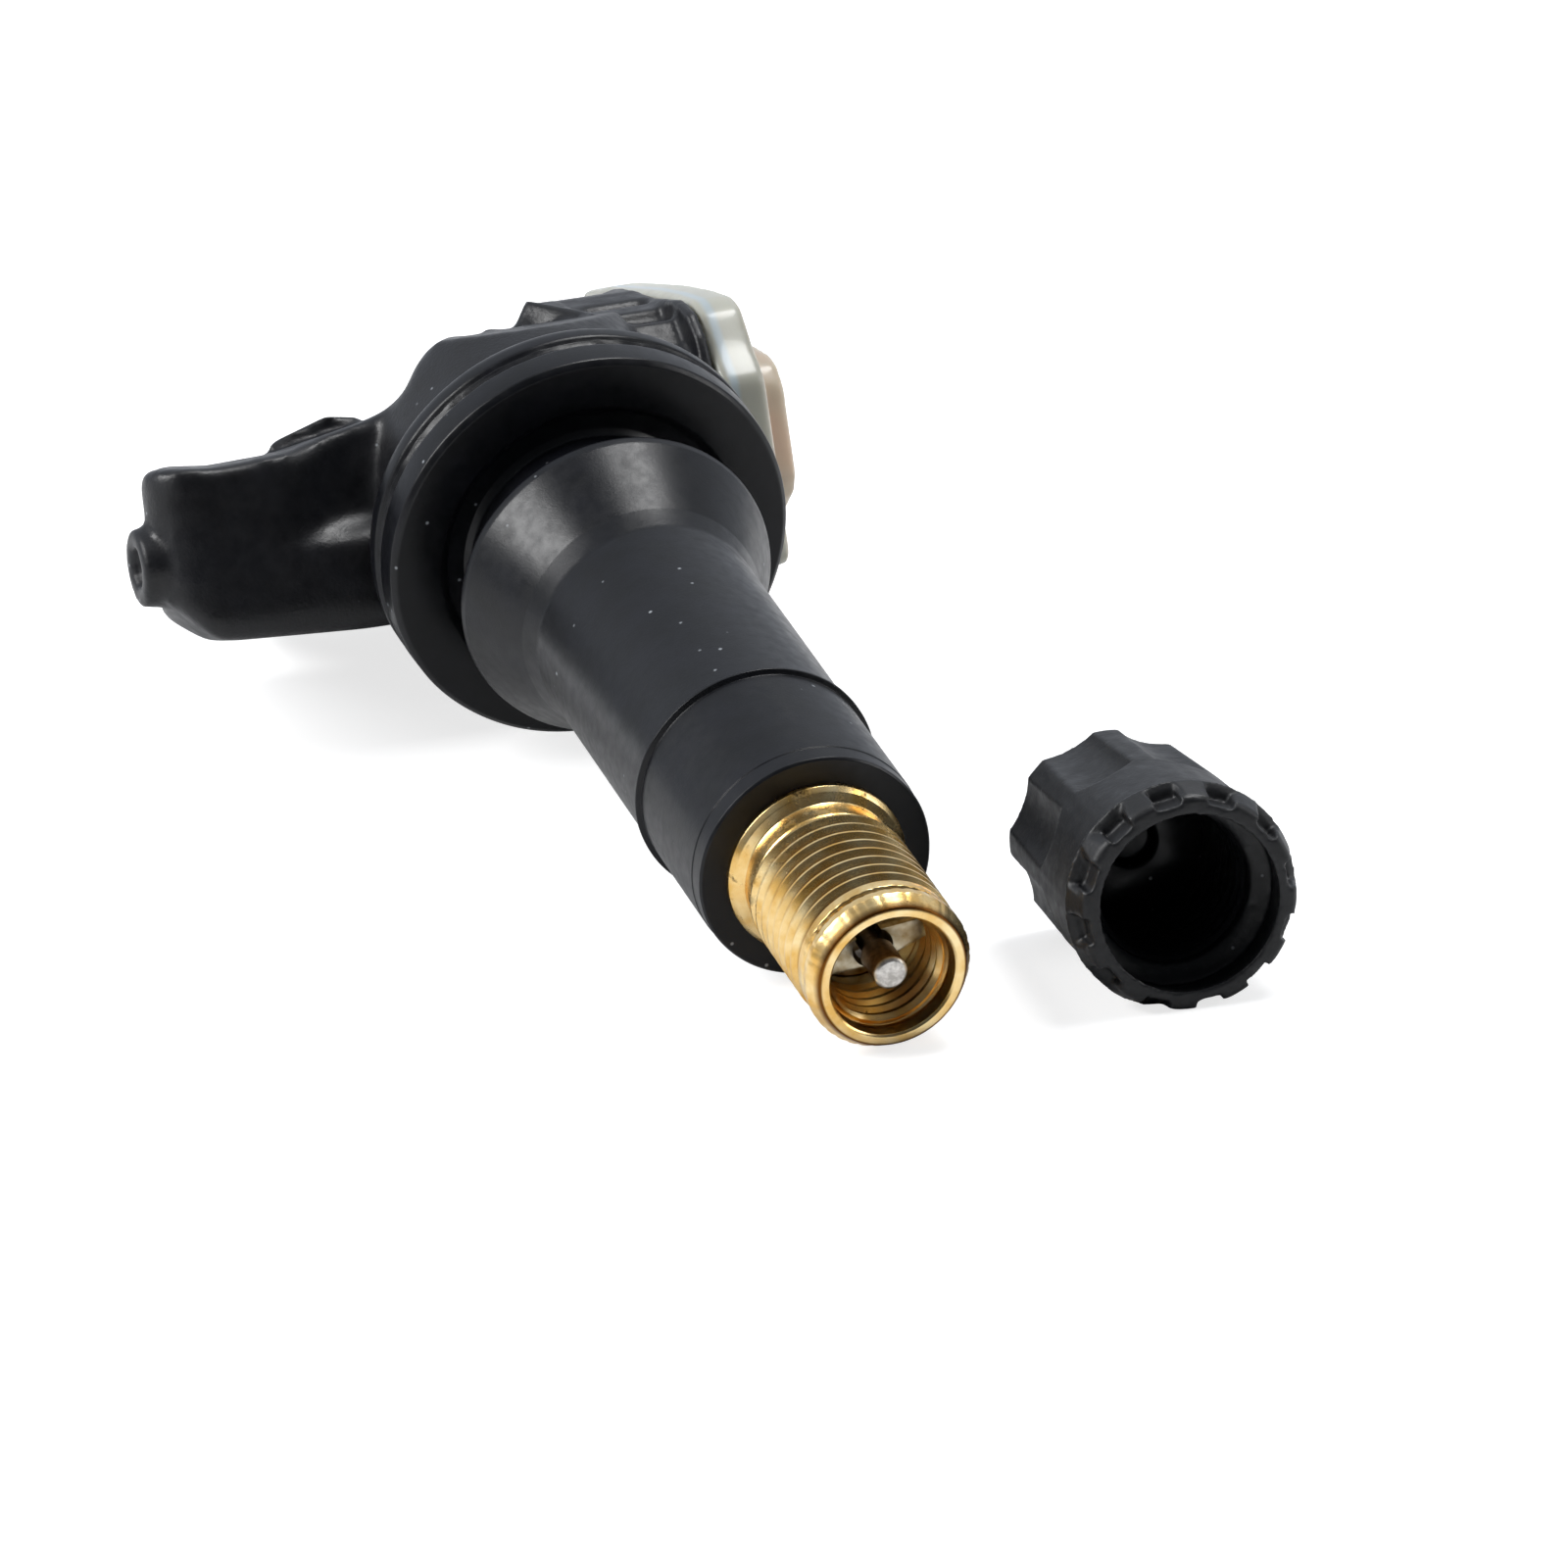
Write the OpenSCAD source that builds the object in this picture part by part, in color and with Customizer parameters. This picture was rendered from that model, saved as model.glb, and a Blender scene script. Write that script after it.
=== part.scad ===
/* [Rubber stem] */
// Radius of the rubber flange that seals inside the rim
flange_r = 9.76; // [8.6:0.02:11]
// Thickness of the flange behind the rim seat
flange_t = 4.2; // [3.4:0.1:6]
// Radius of the neck that fills the rim hole
neck_r = 5.8; // [5.2:0.1:6.4]
// Rim thickness that the neck takes
rim_t = 3.3; // [2.4:0.1:5]
// Radius of the bulb that snaps through the rim hole
bulb_r = 7.54; // [6.9:0.02:8.2]
// Length of the cone behind the bulb
cone_len = 5; // [4:0.1:7]
// Radius of the long rubber sleeve
sleeve_r = 5.48; // [4.9:0.02:5.8]
// Distance from the rim seat to the small step in the sleeve
step_at = 24; // [16:0.5:26]
// Extra radius of the thin lip at the small step
step_lip = 0.24; // [0.1:0.02:0.5]
// Distance from the rim seat to the end of the rubber
rubber_len = 32.3; // [29:0.1:34]

/* [Brass stem] */
// Distance from the rim seat to the mouth of the valve
stem_len = 42.9; // [40:0.1:46]
// Radius over the outer thread
thread_r = 3.85; // [3.7:0.01:4]
// Radius of the brass shoulder at the end of the rubber
shoulder_r = 4.2; // [4:0.02:4.6]
// Length of the brass shoulder
shoulder_len = 1.2; // [0.6:0.1:2]
// Radius of the plain relief between shoulder and thread
relief_r = 3.55; // [3.3:0.01:3.65]
// Length of the plain relief
relief_len = 1.6; // [0.8:0.1:2.4]
// Radius of the brass tube inside the rubber
tube_r = 3.2; // [2.9:0.05:3.5]
// Bevel at the mouth
mouth_bevel = 0.55; // [0.2:0.05:0.7]
// Radius of the mouth
mouth_r = 2.91; // [2.75:0.01:3]
// Depth of the mouth before the core thread starts
mouth_depth = 0.9; // [0.4:0.1:1.4]
// Radius of the core thread
core_r = 2.6; // [2.5:0.01:2.7]
// Depth of the core thread
core_depth = 9; // [8:0.1:11]
// Radius of the air passage
air_r = 1.95; // [1.8:0.01:2.2]
// Radius of the hole for the screw at the stem's root
root_hole_r = 1.5; // [1.3:0.01:1.7]
// Depth of the screw hole in the stem's root
root_hole_depth = 7; // [5:0.5:9]
// Radius of the stem's root in the housing
root_r = 2.4; // [2.1:0.05:2.7]

/* [Valve core] */
// Depth of the core plug below the mouth
plug_at = 2.2; // [1.6:0.1:3]
// Height of the core plug's thread
plug_len = 3.2; // [2.6:0.1:4]
// Height of the bridge over the plug
bridge_h = 1.5; // [0.8:0.1:1.5]
// Width of the bridge
bridge_w = 1.5; // [1:0.1:1.8]
// Radius of the pin's head
pin_head_r = 0.79; // [0.7:0.01:0.9]
// Radius of the pin's shaft
pin_r = 0.5; // [0.4:0.01:0.6]
// How far the pin's head stays below the mouth
pin_below = 0.25; // [0:0.05:0.8]
// Length that the pin can be pushed in
pin_travel = 1.4; // [0.8:0.1:1.6]
// Length of the barrel below the gasket
barrel_len = 7; // [6:0.1:9]
// Radius of the barrel
barrel_r = 1.6; // [1.5:0.01:1.7]
// Wire radius of the core spring
spring_wire_r = 0.13; // [0.1:0.01:0.16]
// Turns of the core spring
spring_turns = 5; // [4:1:6]

/* [Housing] */
// Angle between the stem and the housing's deck
body_tilt = 26; // [22:0.5:29]
// Distance behind the rim seat at which the housing's front meets the stem's axis
body_back = 7.1; // [6.9:0.1:7.6]
// Reach of the arm to the left of the stem
arm_reach = 19.7; // [19:0.1:22]
// Depth of the arm from front to back
arm_depth = 14; // [13:0.1:16]
// Height of the arm's top edge over the stem's axis
arm_top = 3.5; // [3:0.1:4.2]
// Reach of the housing to the right of the stem
body_reach = 9; // [8.6:0.1:12]
// Depth of the housing from front to back
body_depth = 21; // [20.5:0.1:26]
// Height of the deck over the stem's axis
deck_top = 7.6; // [7:0.1:8.4]
// Distance from the stem's axis down to the floor's underside
body_low = 5.4; // [5.2:0.1:6.5]
// Thickness of the floor
floor_t = 1.1; // [0.8:0.1:1.1]
// Height of the room for the electronics
room_h = 3.4; // [3.2:0.05:3.4]
// Thickness of the housing's walls
wall = 1.6; // [1.2:0.1:1.8]
// Radius of the tunnel for the screw
tunnel_r = 3.1; // [2.9:0.05:3.2]
// Height of the ledge on the arm's front, from the stem's axis
ledge_z = -1.3; // [-1.8:0.1:-0.8]
// Depth of the sweep over the ledge
sweep_depth = 1.3; // [0.8:0.1:1.6]
// Radius of the nub on the arm's end
nub_r = 2; // [1.4:0.05:2.1]
// How far the nub stands out of the arm's slanted end
nub_len = 0.8; // [0.5:0.1:1.4]

/* [Cover] */
// Thickness of the cover's plate
cover_t = 2.3; // [1.8:0.1:2.6]
// Height of the cover's raised step
step_h = 1.7; // [1.2:0.1:2.2]
// How far the cover stands proud of the housing's edge
cover_lip = 0.25; // [0.1:0.05:0.5]
// Distance from the plate's edge to the raised step
cover_margin = 3.1; // [2.6:0.1:3.6]
// Thickness of the cover's shell
cover_shell = 1.1; // [0.9:0.1:1.4]

/* [Electronics] */
// Radius of the coin cell
cell_r = 7.75; // [6.2:0.05:7.75]
// Thickness of the coin cell
cell_t = 2; // [1.6:0.05:2]
// Thickness of the circuit board
board_t = 0.8; // [0.6:0.05:0.8]
// Thickness of the battery tabs
tab_t = 0.15; // [0.1:0.01:0.15]

/* [Valve cap] */
// Length of the cap
cap_len = 12.5; // [11.5:0.1:14]
// Radius of the cap's notched collar
cap_r = 4.97; // [4.85:0.01:5.4]
// Number of flutes
flutes = 8; // [6:1:9]
// Number of notches in the collar
notches = 12; // [10:1:14]
// Radius of the cap's thread
cap_bore_r = 3.55; // [3.45:0.01:3.6]
// Radius of the recess at the cap's mouth
cap_mouth_r = 4.1; // [3.95:0.01:4.15]
// Thickness of the cap's seal
cap_seal_t = 1.5; // [1:0.1:2]

/* [Hidden] */
$fn = 64;
cut = 0.5;
fit = 0.05;
boss_r = neck_r + 0.4;
boss_len = 1.8;
root_len = boss_len + 1.8;
root_end = -flange_t - root_len;
seat_end = root_end - 6;
screw_head_r = tunnel_r - 0.2;
screw_head_len = 2;
collar_r = boss_r + 1.4;
room_low = -body_low + floor_t;
room_top = room_low + room_h;
room_front = 3;
board_top = room_top - 0.2;
board_low = board_top - board_t;
cell_low = room_low + tab_t;
cell_top = cell_low + cell_t;
cell_y = body_depth - wall - 0.4 - cell_r;
cell_x = body_reach - 1 - cell_r;
block_left = cell_r - cell_x + wall + 0.8;
pin_top = stem_len - pin_below;
plug_top = stem_len - plug_at;
plug_low = plug_top - plug_len;
core_end = stem_len - core_depth;
gasket_len = 1.8;
gasket_top = plug_low - fit;
gasket_low = gasket_top - gasket_len;
barrel_top = gasket_top - 0.3;
barrel_low = gasket_low - barrel_len;
barrel_bore = barrel_r - 0.35;
spring_seat = barrel_low + 1.2;
spring_r = barrel_bore - spring_wire_r - 0.12;
spring_top = gasket_low - 1;
cup_len = 1.6;
cup_r = barrel_r - 0.15;
seal_t = 0.5;
cup_top = barrel_low - seal_t - fit;
arm_in = -arm_reach + 5.3;
arm_slant = 4.3;
deck_edge = deck_top - 0.5;
chip_x = arm_in + 2.6;
chip_y = 6.4;

// A polygon's points with each corner rounded by its own radius
function unit(v) = v / norm(v);
function corner(a, b, c, r, n) =
    let (u = unit(a - b), v = unit(c - b), half = acos(u * v) / 2, reach = r / tan(half))
    let (m = b + unit(u + v) * r / sin(half), s = b + u * reach - m, e = b + v * reach - m)
    r < 0.01 ? [b] : [for (i = [0 : n]) let (p = s * (n - i) / n + e * i / n) m + unit(p) * r];
function rounded(pts, radii, n = 5) =
    let (k = len(pts))
    [for (i = [0 : k - 1]) each corner(pts[(i + k - 1) % k], pts[i], pts[(i + 1) % k], radii[i], n)];

// The stem's axis runs toward the mouth, with the rim seat at zero
module on_stem() { rotate([90, 0, 0]) children(); }

// The housing's own frame: right, back along the deck, and up from it
module in_body() { translate([0, body_back, 0]) rotate([-body_tilt, 0, 0]) children(); }

module rubber_stem() {
    groove_r = flange_r * 0.71;
    color("#17181b") on_stem() rotate_extrude() polygon([
        [tube_r, -flange_t - boss_len], [boss_r, -flange_t - boss_len], [boss_r, -flange_t],
        [flange_r - 0.7, -flange_t], [flange_r, -flange_t + 0.7], [flange_r, -flange_t * 0.62],
        [flange_r - 0.28, -flange_t * 0.55], [flange_r - 0.28, -flange_t * 0.47],
        [flange_r, -flange_t * 0.4], [flange_r - 0.05, -0.25], [flange_r - 0.3, 0],
        [groove_r + 0.35, 0], [groove_r, -0.3], [neck_r + 0.3, -0.3], [neck_r, 0],
        [neck_r, rim_t - 0.3], [neck_r + 0.3, rim_t], [bulb_r - 0.35, rim_t],
        [bulb_r, rim_t + 0.35], [bulb_r - 0.08, rim_t + 0.8],
        [sleeve_r + 0.35, rim_t + cone_len - 0.6], [sleeve_r, rim_t + cone_len + 0.6],
        [sleeve_r, step_at - 0.5], [sleeve_r + step_lip, step_at - 0.15],
        [sleeve_r + step_lip, step_at], [sleeve_r, step_at + 0.1],
        [sleeve_r, rubber_len - 0.3], [sleeve_r - 0.3, rubber_len],
        [shoulder_r, rubber_len], [shoulder_r, rubber_len - shoulder_len],
        [tube_r, rubber_len - shoulder_len]]);
}

module brass_stem() {
    thread_low = rubber_len + relief_len;
    seat_low = core_end - 1.6;
    color("#c9a24a") on_stem() rotate_extrude() polygon([
        [root_hole_r, root_end], [root_r, root_end], [root_r, -flange_t - boss_len],
        [tube_r, -flange_t - boss_len], [tube_r, rubber_len - shoulder_len],
        [shoulder_r, rubber_len - shoulder_len], [shoulder_r, rubber_len + 0.25],
        [relief_r, rubber_len + 0.6], [relief_r, thread_low], [thread_r, thread_low + 0.3],
        [thread_r, stem_len - mouth_bevel], [thread_r - mouth_bevel, stem_len],
        [mouth_r + 0.12, stem_len], [mouth_r, stem_len - 0.12], [mouth_r, stem_len - mouth_depth],
        [core_r + fit, stem_len - mouth_depth - 0.4], [core_r + fit, core_end],
        [air_r, seat_low], [air_r, root_end + root_hole_depth + 1],
        [root_hole_r, root_end + root_hole_depth]]);
}

module core_plug() {
    color("#b8a070") on_stem() difference() {
        union() {
            translate([0, 0, plug_low]) cylinder(r = core_r, h = plug_len - 1.2);
            intersection() {
                translate([0, 0, plug_low]) cylinder(r = core_r, h = plug_len + bridge_h);
                translate([-core_r, -bridge_w / 2, plug_low])
                    cube([2 * core_r, bridge_w, plug_len + bridge_h]);
            }
        }
        translate([0, 0, plug_low - cut]) cylinder(r = pin_r + fit, h = plug_len + bridge_h + 2 * cut);
        translate([0, 0, plug_top - 1.7]) cylinder(r = pin_head_r + 0.16, h = bridge_h + 3);
        for (side = [-1, 1])
            translate([0, side * 1.6, plug_low - cut]) cylinder(r = 0.45, h = plug_len + 2 * cut);
    }
}

module core_gasket() {
    color("#d8d2c4") on_stem() difference() {
        translate([0, 0, gasket_low]) cylinder(r1 = air_r - 0.05, r2 = air_r + 0.3, h = gasket_len);
        translate([0, 0, gasket_low - cut]) cylinder(r = barrel_r, h = gasket_len + 2 * cut);
    }
}

module core_barrel() {
    color("#b0863c") on_stem() difference() {
        translate([0, 0, barrel_low]) cylinder(r = barrel_r, h = barrel_top + 0.3 - barrel_low);
        translate([0, 0, spring_seat]) cylinder(r = barrel_bore, h = barrel_top - spring_seat + 1);
        translate([0, 0, barrel_low - cut]) cylinder(r = pin_r + 0.35, h = 3);
    }
}

module core_pin() {
    collar_low = spring_top;
    color("#6b5138") on_stem() union() {
        translate([0, 0, cup_top - cup_len]) cylinder(r = pin_r, h = pin_top - 1 - cup_top + cup_len);
        translate([0, 0, plug_top - 1.7 + pin_travel + 0.3])
            cylinder(r = pin_head_r, h = pin_top - plug_top + 1.4 - pin_travel - 0.15);
        translate([0, 0, pin_top - 0.15]) cylinder(r1 = pin_head_r, r2 = pin_head_r - 0.15, h = 0.15);
        translate([0, 0, collar_low]) cylinder(r = barrel_bore - 0.06, h = 0.5);
    }
}

module core_spring() {
    steps = 10;
    rise = spring_top - spring_seat - 2 * spring_wire_r - 0.04;
    low = spring_seat + spring_wire_r + 0.02;
    color("#8d8f92") on_stem()
        for (i = [0 : spring_turns * steps - 1])
            hull()
                for (k = [0, 1])
                    rotate([0, 0, (i + k) * 360 / steps])
                        translate([spring_r, 0, low + rise * (i + k) / (spring_turns * steps)])
                            sphere(r = spring_wire_r, $fn = 6);
}

module core_cup() {
    color("#b0863c") on_stem() difference() {
        translate([0, 0, cup_top - cup_len]) cylinder(r = cup_r, h = cup_len);
        translate([0, 0, cup_top - seal_t]) cylinder(r = cup_r - 0.25, h = seal_t + cut);
        translate([0, 0, cup_top - cup_len - cut]) cylinder(r = pin_r, h = cup_len + 2 * cut);
    }
}

module core_cup_seal() {
    color("#202124") on_stem() difference() {
        translate([0, 0, cup_top - seal_t]) cylinder(r = cup_r - 0.25, h = 2 * seal_t);
        translate([0, 0, cup_top - seal_t - cut]) cylinder(r = pin_r, h = 2 * seal_t + 2 * cut);
    }
}

// Outline of the housing seen from the front
function front_outline() = rounded([
    [-arm_reach, -1.7], [-arm_reach + 0.8, -2.6], [-arm_reach + 3.1, -4.9], [-9, -body_low],
    [body_reach, -body_low], [body_reach, deck_edge], [body_reach - 1.3, deck_top - 0.15],
    [-3.2, deck_top], [-4.3, deck_top - 0.7], [-5.2, deck_top - 1.3], [-5.75, arm_top + 1.5],
    [-8.8, arm_top + 0.5], [-11.6, arm_top - 0.25], [-15.5, arm_top - 0.5], [-arm_reach, arm_top]],
    [1, 1, 1.5, 3, 0, 0, 1, 0.5, 0.5, 0.6, 0.6, 4, 4, 4, 1]);

// Outline of the housing's right end up to a given height, and with a margin the cover's
function end_outline(front, top, grow = 0) = rounded([
    [front - grow, -body_low - grow], [front - grow, 3.4], [4.3 - grow, 6.4 + grow], [6.2 - grow, top + grow],
    [body_depth - 2 + grow, top + grow], [body_depth + grow, top - 4], [body_depth + grow, -body_low - grow]],
    [1.6, 1.5, 2, 1.5, 2, 2, 2]);

function plan_outline() = rounded([
    [-arm_reach, 0], [5, 0], [body_reach, 1], [body_reach, body_depth], [-block_left, body_depth],
    [-block_left - 1.5, arm_depth], [-arm_reach + arm_slant, arm_depth]],
    [2.2, 2, 0, 0, 2, 2, 3]);

module along_x(x, len) { translate([x, 0, 0]) rotate([90, 0, 90]) linear_extrude(len) children(); }

module room(x_end) {
    translate([arm_in, wall + 0.8, room_low]) cube([-7 - arm_in, arm_depth - 2 * wall - 0.8, room_h]);
    translate([wall - block_left, room_front, room_low])
        cube([x_end + block_left - wall, body_depth - wall - room_front, room_h]);
}

module housing_block() {
    intersection() {
        translate([0, body_depth + cut, 0]) rotate([90, 0, 0])
            linear_extrude(body_depth + 2 * cut) polygon(front_outline());
        along_x(-arm_reach - cut, arm_reach + body_reach + cut) polygon(end_outline(0, deck_top + 1));
        translate([0, 0, -body_low - cut]) linear_extrude(deck_top + body_low + 2 * cut) polygon(plan_outline());
    }
}

// Lugs that the mould leaves on the deck and the arm, each one a short extrusion
module lugs() {
    along_x(-3.9, 1.2)
        polygon(rounded([[3, 3], [5, 7.2], [7, 7.8], [10, 7.7], [12, 6]], [0, 1, 1, 1, 0]));
    along_x(0.6, 3.8)
        polygon([[5, 5], [6.6, deck_top + 0.1], [9, deck_top + 0.5], [13, deck_top + 0.4], [15, 6]]);
    translate([-12.2, 8.4, 0]) rotate([90, 0, 0])
        linear_extrude(2.2) polygon(rounded([[0, 1], [0, 2.9], [2.2, 4.4], [4.2, 4.4], [4.2, 1]], [0, 0.6, 0.8, 0.4, 0]));
}

// The arm's front is swept back over a sloping ledge, so that it clears the rim
module sweep_cut() {
    slope = 40;
    intersection() {
        translate([0, 0, -body_low]) linear_extrude(deck_top + 2 * body_low) polygon([
            [-arm_reach - 1, -1], [-5.4, -1], [-5.4, sweep_depth], [-9.2, sweep_depth],
            [-10, sweep_depth - 0.12], [-10.8, sweep_depth - 0.42], [-11.6, 0.45], [-12.4, 0.2], [-13.2, 0.12],
            [-17, 0.1], [-arm_reach - 1, -0.3]]);
        translate([-40, -1, ledge_z - tan(slope)]) rotate([slope, 0, 0]) cube([80, 30, 30]);
    }
}

// Steps across the deck's front slope, each with a groove at its foot
module deck_steps() {
    along_x(4.4, body_reach - 0.7 - 4.4) polygon([
        [-1, 9], [-1, 4.6], [3, 4.6], [8, 5.5], [9.8, 5.5], [9.8, 5.75], [9.5, 5.75], [9.5, 6.2],
        [11.2, 6.2], [11.2, 6.45], [10.9, 6.45], [10.9, 7], [13, 7], [13, 7.25], [12.7, 7.25], [12.7, 9]]);
}

module stem_collar() {
    intersection() {
        on_stem() translate([0, 0, seat_end]) cylinder(r = collar_r, h = -flange_t - fit - seat_end);
        in_body() translate([-2 * collar_r, -collar_r, -body_low])
            cube([4 * collar_r, 2 * body_depth, body_low + deck_top - 0.3]);
    }
}

module housing() {
    nub_y = 2.8;
    nub_z = -1.15;
    nub_x = -arm_reach + arm_slant * nub_y / arm_depth - nub_len;
    color("#15161a") difference() {
        union() {
            in_body() difference() {
                union() {
                    housing_block();
                    translate([nub_x, nub_y, nub_z]) rotate([0, 90, 0])
                        cylinder(r1 = nub_r - 0.25, r2 = nub_r + 0.15, h = nub_len + 1.6);
                }
                sweep_cut();
                deck_steps();
                translate([-5, -1, 4.7]) cube([0.9, 5, 1.5]);
                translate([-2.6, -1, deck_top - 0.25]) cube([1.3, 13, 2]);
            }
            in_body() lugs();
            stem_collar();
        }
        in_body() room(body_reach + cut);
        in_body() translate([chip_x, chip_y, -body_low - cut]) cylinder(r = 0.8, h = floor_t + 2 * cut);
        in_body() translate([nub_x - cut, nub_y, nub_z]) rotate([0, 90, 0])
            cylinder(r = nub_r * 0.45, h = cut + 0.6);
        on_stem() translate([0, 0, -flange_t - boss_len - fit]) cylinder(r = boss_r + fit, h = 10);
        on_stem() translate([0, 0, root_end - fit]) cylinder(r = root_r + fit, h = 8);
        on_stem() translate([0, 0, seat_end - cut]) cylinder(r = root_hole_r + fit, h = 10);
        on_stem() translate([0, 0, seat_end - 30]) cylinder(r = tunnel_r, h = 30);
    }
}

module cover() {
    step_front = 1.6;
    step_low = -body_low + cover_margin - 1.2;
    step_top = deck_edge - cover_margin;
    color("#c9cfc4", 0.8) in_body() difference() {
        union() {
            along_x(body_reach, cover_t) polygon(end_outline(1, deck_edge, cover_lip));
            along_x(body_reach + cover_t - 0.01, step_h + 0.01) polygon(rounded([
                [step_front, step_low], [step_front + 0.8, step_top],
                [body_depth - cover_margin, step_top], [body_depth - cover_margin, step_low]],
                [1.3, 2.8, 1.5, 1.5]));
        }
        translate([body_reach - cut, step_front + 0.8 + cover_shell, step_low + cover_shell])
            cube([cover_t + step_h - cover_shell + cut,
                body_depth - cover_margin - step_front - 0.8 - 2 * cover_shell,
                step_top - step_low - 2 * cover_shell - 0.6]);
    }
}

module stem_screw() {
    tip = root_end + root_hole_depth - 1;
    color("#9a9ca0") on_stem() difference() {
        union() {
            translate([0, 0, seat_end - screw_head_len]) cylinder(r = screw_head_r, h = screw_head_len);
            translate([0, 0, seat_end - 0.1]) cylinder(r = root_hole_r - fit, h = tip - seat_end + 0.1);
        }
        translate([0, 0, seat_end - screw_head_len - cut]) cylinder(r = 1.5, h = 1.2 + cut, $fn = 6);
        translate([0, 0, seat_end - screw_head_len - cut]) cylinder(r = 0.6, h = 40);
    }
}

module circuit_board() {
    arm_x = arm_in + 0.3;
    color("#2f6b3c") in_body() union() {
        translate([arm_x, wall + 1.1, board_low]) cube([-7.2 - arm_x, arm_depth - 2 * wall - 1.5, board_t]);
        translate([wall - block_left + 0.3, room_front + 0.3, board_low])
            cube([body_reach + block_left - wall - 1.1, body_depth - wall - room_front - 0.6, board_t]);
    }
}

module battery() {
    color("#b9bcc0") in_body() translate([cell_x, cell_y, cell_low]) union() {
        cylinder(r = cell_r, h = cell_t * 0.7);
        translate([0, 0, cell_t * 0.7 - 0.01]) cylinder(r = cell_r - 0.7, h = cell_t * 0.3 + 0.01);
    }
}

module battery_tab_top() {
    color("#c8c9c6") in_body() union() {
        translate([cell_x - 2, cell_y - 1.5, cell_top]) cube([4, 3, tab_t]);
        translate([cell_x - 1, cell_y - 1.5, cell_top]) cube([2, 1, board_low - cell_top]);
    }
}

module battery_tab_bottom() {
    riser_y = cell_y - cell_r - 0.3;
    color("#c8c9c6") in_body() union() {
        translate([cell_x - 2.5, riser_y, room_low]) cube([2, cell_r, tab_t]);
        translate([cell_x - 2.5, riser_y, room_low]) cube([2, tab_t, board_low - room_low]);
    }
}

module under_board(x, y, size) { translate([x, y, board_low - size[2]]) cube(size); }

module pressure_chip() {
    color("#8e9094") in_body() difference() {
        under_board(chip_x - 2.2, chip_y - 2.2, [4.4, 4.4, 1.5]);
        translate([chip_x, chip_y, board_low - 2]) cylinder(r = 0.7, h = 0.9);
    }
}

module filter_disc() {
    color("#e8e8e4") in_body() translate([chip_x, chip_y, room_low]) cylinder(r = 1.6, h = 0.25);
}

module receiver_coil() {
    x = arm_in + 0.4;
    color("#3a2f28") in_body() union() {
        under_board(x, arm_depth - 4.4, [1, 1.8, 1.8]);
        under_board(x + 4.4, arm_depth - 4.4, [1, 1.8, 1.8]);
        translate([x + 0.9, arm_depth - 3.5, board_low - 0.9]) rotate([0, 90, 0]) cylinder(r = 0.75, h = 3.6);
    }
}

module antenna() {
    y = body_depth - wall - 0.35 - 0.4;
    color("#b98d4a") in_body() union() {
        under_board(wall - block_left + 0.6, y - 1, [0.4, 1, 1.6]);
        under_board(wall - block_left + 0.6, y - 0.2, [3.2, 0.4, 1.6]);
    }
}

module crystal() {
    color("#cfd0d2") in_body() under_board(chip_x + 2.7, wall + 1.3, [2, 1.6, 0.7]);
}

module capacitors() {
    color("#a58a63") in_body()
        for (i = [0 : 2]) under_board(chip_x + 2.7, 5.4 + i * 1.1, [1, 0.6, 0.5]);
}

// The cap lies beside the stem, its mouth turned up a little
module as_it_lies() { translate([13.9, -42.9, 1.2]) rotate([78.8, 0, -3.9]) translate([0, 0, -cap_len]) children(); }

module valve_cap() {
    collar_len = 1.5;
    flute_r = 2.3;
    body_r = cap_r - 0.22;
    flute_end = cap_len * 0.5;
    color("#17181b") as_it_lies() difference() {
        rotate_extrude() polygon([
            [0, 0], [body_r - 0.9, 0], [body_r - 0.25, 0.5], [body_r, cap_len - collar_len - 0.4],
            [cap_r, cap_len - collar_len], [cap_r, cap_len - 0.2], [cap_r - 0.2, cap_len],
            [cap_mouth_r, cap_len], [cap_mouth_r, cap_len - 2.2], [cap_bore_r, cap_len - 2.6],
            [cap_bore_r, 1.6], [0, 1.6]]);
        for (i = [0 : flutes - 1]) rotate([0, 0, (i + 0.5) * 360 / flutes]) {
            translate([body_r + flute_r - 0.75, 0, -cut]) cylinder(r = flute_r, h = flute_end + cut);
            translate([body_r + flute_r - 0.75, 0, flute_end]) cylinder(r1 = flute_r, r2 = flute_r - 0.75, h = 1);
        }
        for (i = [0 : notches - 1]) rotate([0, 0, (i + 0.3) * 360 / notches])
            translate([cap_r - 0.4, -0.62, cap_len - collar_len + 0.25]) cube([1, 1.24, collar_len]);
    }
}

module cap_seal() {
    color("#202124") as_it_lies() difference() {
        translate([0, 0, 1.6]) cylinder(r = cap_bore_r - fit, h = cap_seal_t);
        translate([0, 0, 2]) cylinder(r = 1.15, h = cap_seal_t);
    }
}

rubber_stem();
brass_stem();
core_plug();
core_barrel();
core_gasket();
core_pin();
core_spring();
core_cup();
core_cup_seal();
valve_cap();
cap_seal();
housing();
cover();
stem_screw();
circuit_board();
battery();
battery_tab_top();
battery_tab_bottom();
pressure_chip();
filter_disc();
receiver_coil();
antenna();
crystal();
capacitors();
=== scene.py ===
import math

import bmesh
import bpy
from mathutils import Matrix, Vector, noise


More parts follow.
